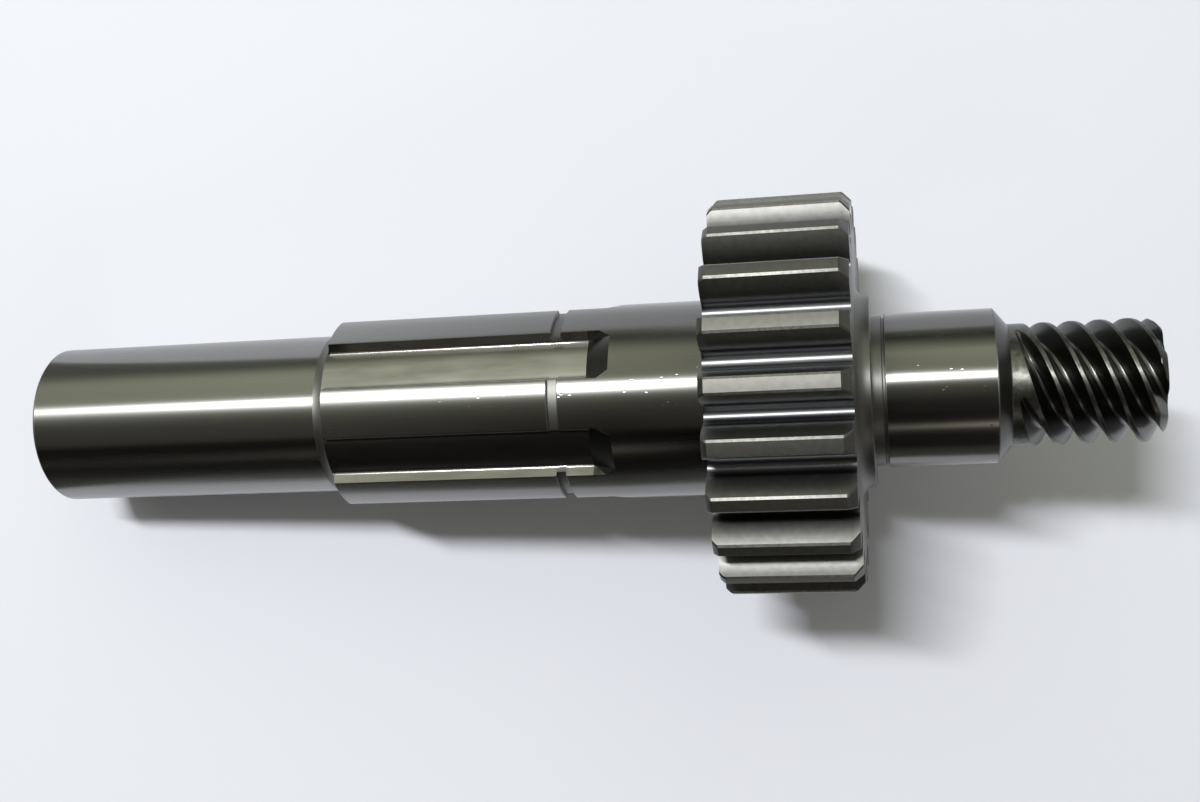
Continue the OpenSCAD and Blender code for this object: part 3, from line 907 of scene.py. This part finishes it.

# %% [markdown]
# A gear tooth shows four finishes. The land was turned, so its lines run round the gear. The flank
# was hobbed, with lines along the tooth. The root is smoother, and its darker colour is painted shade
# in the hollow between teeth. The bevelled edge is the brightest. Four plain metals with their own
# patterns are easier to tune than a single one.

# %% Gear steel
gear_land, gear_land_shader = new_finish("gear_land_steel", (0.145, 0.143, 0.133), roughness=0.49)
bump_by(gear_land, gear_land_shader, streaks(gear_land, scale=(6000, 80, 80)), height=0.000003)
cloudy(gear_land, gear_land_shader, scale=(1200, 1200, 1200), share=0.09)
gear_edge, gear_edge_shader = new_finish("gear_edge_steel", (0.3, 0.3, 0.285), roughness=0.5)
cloudy(gear_edge, gear_edge_shader, scale=(2000, 2000, 2000), share=0.25)
gear_flank, gear_flank_shader = new_finish("gear_flank_steel", (0.14, 0.14, 0.134), roughness=0.43)
bump_by(gear_flank, gear_flank_shader, streaks(gear_flank, scale=(60, 2500, 2500)), height=0.000003)
cloudy(gear_flank, gear_flank_shader, scale=(1200, 1200, 1200), share=0.1)
# Painted shade: the root's colour is darker than the flank's, for the hollow between teeth.
new_finish("gear_root_steel", (0.11, 0.113, 0.118), roughness=0.33)
print("gear land and flank nodes:", len(gear_land.node_tree.nodes), len(gear_flank.node_tree.nodes))

# %% [markdown]
# The worm is the darkest stretch. Its flanks' dark colour is painted shade, for grooves that mostly
# reflect each other. The crests keep the lines of turning and have a spotty tone. The same painted
# shade darkens the steep bevel and the run-outs of the spline. The mesh then takes all finishes in
# the order of their numbers.

# %% Worm steel
worm_crest, worm_crest_shader = new_finish("worm_crest_steel", (0.11, 0.11, 0.1), roughness=0.38)
grain_round(worm_crest, worm_crest_shader, amount=0.6)
cloudy(worm_crest, worm_crest_shader, scale=(1500, 1500, 1500), share=0.35)
# Painted shade: the flank colour is dark for grooves that mostly reflect each other.
new_finish("worm_flank_steel", (0.09, 0.09, 0.086), roughness=0.28)
for name in FINISHES:
    mesh.materials.append(bpy.data.materials[name + "_steel"])
print("finishes:", [material.name for material in mesh.materials])

# %% [markdown]
# The shaft lies on a plain sheet of white paper. In view there is only paper, but what lies past
# its edges matters too: the flanks of every cylinder reflect the paper, and the dark line next to
# that reflection is the grey table on which the sheet lies. So both are plain level rectangles,
# the table a hair lower.

# %% Paper and table
PAPER_CORNER, PAPER_SIZE, PAPER_TURN = (-0.0989, -0.07), (0.353, 0.25), math.radians(-5.6)
PAPER_COLOUR = (0.77, 0.788, 0.875)
TABLE_CORNER, TABLE_SIZE, TABLE_DROP = (-3.0, -3.0), (6.0, 6.0), 0.0005
TABLE_COLOUR = (0.12, 0.12, 0.115)
DULL_ROUGH, DULL_SHEEN = 0.6, 0.2


def flat_piece(name, corner, size, turn, height, colour):
    """A level rectangle of a size, turned about its first corner, in one plain dull colour."""
    start = np.array([*corner, height])
    wide = np.array([math.cos(turn), math.sin(turn), 0.0]) * size[0]
    deep = np.array([-math.sin(turn), math.cos(turn), 0.0]) * size[1]
    flat_mesh = bpy.data.meshes.new(name)
    flat_mesh.from_pydata([start, start + wide, start + wide + deep, start + deep], [], [(0, 1, 2, 3)])
    plain, shader = new_finish(name + "_plain", colour, DULL_ROUGH)
    shader.inputs["Metallic"].default_value = 0.0
    shader.inputs["Specular IOR Level"].default_value = DULL_SHEEN
    flat_mesh.materials.append(plain)
    flat = bpy.data.objects.new(name, flat_mesh)
    scene.collection.objects.link(flat)


flat_piece("paper", PAPER_CORNER, PAPER_SIZE, PAPER_TURN, 0.0, PAPER_COLOUR)
flat_piece("table", TABLE_CORNER, TABLE_SIZE, 0.0, -TABLE_DROP, TABLE_COLOUR)
print("paper and table in metres:", PAPER_SIZE, TABLE_SIZE)

# %% [markdown]
# One short lamp tube hangs to the left of the shaft and behind it. Its place follows from the
# shadow: the shadow's steps lie to the right of the shaft's steps, and its edges are softer along
# the shaft than across it, so the tube lies along the shaft. An area lamp of that size gives the
# soft shadow and the bright line on every cylinder at once.

# %% Lamp
TUBE_PLACE = (-0.355, 0.526, 1.2)
TUBE_LEN, TUBE_W, TUBE_TURN, TUBE_RADIANCE = 0.432, 0.0576, math.radians(-17), 206.0

tube_data = bpy.data.lights.new("tube", "AREA")
tube_data.shape = "RECTANGLE"
tube_data.size, tube_data.size_y = TUBE_LEN, TUBE_W
tube_data.energy = TUBE_RADIANCE * math.pi * TUBE_LEN * TUBE_W
tube = bpy.data.objects.new("tube", tube_data)
tube.location = TUBE_PLACE
tip_back = -math.atan2(TUBE_PLACE[1], TUBE_PLACE[2])
tip_left = math.atan2(TUBE_PLACE[0], TUBE_PLACE[2])
tube.rotation_euler = (tip_back, tip_left, TUBE_TURN)
scene.collection.objects.link(tube)
print("tube power in watts:", round(tube_data.energy, 2))

# %% [markdown]
# The rest of the room is dim, and what shows of it is its reflection in the steel. A picture of a
# room would do, but nodes keep the script whole. Two numbers say where a direction points: how far
# to the right, and its angle from upright towards the back. Bright and dark areas are set by them.

# %% Directions in the room
world = bpy.data.worlds.new("room")
world.use_nodes = True
room_nodes, room_links = world.node_tree.nodes, world.node_tree.links
direction = room_nodes.new("ShaderNodeTexCoord")
parts = room_nodes.new("ShaderNodeSeparateXYZ")
room_links.new(direction.outputs["Generated"], parts.inputs["Vector"])
angle_node = room_nodes.new("ShaderNodeMath")
angle_node.operation = "ARCTAN2"
room_links.new(parts.outputs["Y"], angle_node.inputs[0])
room_links.new(parts.outputs["Z"], angle_node.inputs[1])
angle_share = spread(world, angle_node.outputs["Value"], -math.pi / 2, math.pi / 2)


def angle_place(degrees):
    """Place of an angle from upright on a ramp from 0 to 1 that covers half a turn."""
    return (degrees + 90) / 180


print("places of the front, the zenith and the back:", [angle_place(deg) for deg in (-90, 0, 90)])

# %% [markdown]
# An olive wall stands behind, the front is warmer and darker, and a window is low on the right. The
# angle from upright picks the brightness from a list of bands. The left end of the shaft looks
# further to the left, so each side of the room has its own list.

# %% Bands of the room
BACK_TINT, FRONT_TINT = (1.0, 1.04, 0.8), (1.0, 0.92, 0.79)
LEFT_BANDS = [(-90, 0.012), (-68, 0.006), (-58, 0.014), (-36, 0.014), (-29, 0.19), (-5, 0.18), (5, 0.22),
              (30, 0.58), (45, 0.74), (74, 0.82), (80, 0.5), (87, 0.17), (90, 0.08)]
RIGHT_BANDS = [(-90, 0.03), (-67, 0.04), (-57, 0.18), (-51, 2.6), (-46, 0.14), (-36, 0.055), (-12, 0.08),
               (5, 0.18), (30, 0.85), (46, 1.15), (62, 1.4), (70, 0.6), (78, 0.28), (90, 0.08)]
LEFT_ENDS, RIGHT_STARTS = -0.1, 0.0


def ramp_over(value, stops):
    """Colour ramp over a value from 0 to 1: each stop is a place and a colour."""
    ramp = room_nodes.new("ShaderNodeValToRGB")
    for extra in range(len(stops) - len(ramp.color_ramp.elements)):
        ramp.color_ramp.elements.new(1.0)
    for element, (stop_place, colour) in zip(ramp.color_ramp.elements, stops):
        element.position = stop_place
        element.color = (*colour, 1)
    room_links.new(value, ramp.inputs["Fac"])
    return ramp.outputs["Color"]


def band_ramp(bands):
    """Ramp over the angle from upright: each band's brightness times the tint of the back or front."""
    tints = [BACK_TINT if degrees > 0 else FRONT_TINT for degrees, level in bands]
    colours = [np.array(tint) * level for tint, (degrees, level) in zip(tints, bands)]
    places = [angle_place(degrees) for degrees, level in bands]
    return ramp_over(angle_share, list(zip(places, colours)))


def room_mix(share=None, first_colour=None, last_colour=None, blend="MIX"):
    """Mix node of the room: the links that are given go into its share and its two colours."""
    mix = room_nodes.new("ShaderNodeMix")
    mix.data_type = "RGBA"
    mix.blend_type = blend
    for socket, link in (("Factor", share), ("A", first_colour), ("B", last_colour)):
        if link is not None:
            room_links.new(link, mix.inputs[socket])
    return mix


right_share = spread(world, parts.outputs["X"], LEFT_ENDS, RIGHT_STARTS)
sides = room_mix(right_share, band_ramp(LEFT_BANDS), band_ramp(RIGHT_BANDS))
print("bands in the room:", len(LEFT_BANDS), "and", len(RIGHT_BANDS))

# %% [markdown]
# A soft dark shape stands in front of the spline. It makes the lower half of the spline and the
# seat almost black, but not that of the journals. It is an ellipse over two coordinates: how far
# to the right a direction points, and its angle from upright.

# %% Dark shape in front
SHAPE_X, SHAPE_DEG, SHAPE_SCALE, SHAPE_EDGE = -0.2, -35, (0.55, 0.68), (0.09, 0.14)
SHAPE_COLOUR = (0.002, 0.002, 0.002)

shape_plane = room_nodes.new("ShaderNodeCombineXYZ")
room_links.new(parts.outputs["X"], shape_plane.inputs["X"])
room_links.new(angle_share, shape_plane.inputs["Y"])
shape_scale = room_nodes.new("ShaderNodeVectorMath")
shape_scale.operation = "MULTIPLY"
shape_scale.inputs[1].default_value = (*SHAPE_SCALE, 0)
room_links.new(shape_plane.outputs["Vector"], shape_scale.inputs[0])
shape_away = room_nodes.new("ShaderNodeVectorMath")
shape_away.operation = "DISTANCE"
shape_middle = np.array(SHAPE_SCALE) * (SHAPE_X, angle_place(SHAPE_DEG))
shape_away.inputs[1].default_value = (*shape_middle, 0)
room_links.new(shape_scale.outputs["Vector"], shape_away.inputs[0])
shape_mix = room_mix(spread(world, shape_away.outputs["Value"], *SHAPE_EDGE), None, sides.outputs["Result"])
shape_mix.inputs["A"].default_value = (*SHAPE_COLOUR, 1)
print("middle of the dark shape:", shape_middle.round(3))

# %% [markdown]
# Two ramps over how far to the right a direction points finish the room. The far left is dimmer,
# which the run-outs of the spline show, and a weak grey glow from the low right lights the hub's
# face and lifts the shadow. Both are part of the background, so they cost no lamp.

# %% Far ends of the room
LEFT_STOPS = [(-0.8, 0.4), (-0.6, 1.0)]
GLOW_STOPS = [(0.3, 0.0), (0.5, 1.0), (0.8, 1.0), (0.93, 0.2)]
GLOW_COLOUR = (0.23, 0.22, 0.22)
across_share = spread(world, parts.outputs["X"], -1.0, 1.0)


def side_ramp(stops):
    """Grey ramp over how far to the right a direction points, from -1 to 1."""
    return ramp_over(across_share, [((across + 1) / 2, (level,) * 3) for across, level in stops])


dimmed = room_mix(None, shape_mix.outputs["Result"], side_ramp(LEFT_STOPS), "MULTIPLY")
dimmed.inputs["Factor"].default_value = 1.0
whole = room_mix(side_ramp(GLOW_STOPS), dimmed.outputs["Result"])
whole.inputs["B"].default_value = (*GLOW_COLOUR, 1)
room_links.new(whole.outputs["Result"], room_nodes["Background"].inputs["Color"])
scene.world = world
print("room nodes:", len(room_nodes))
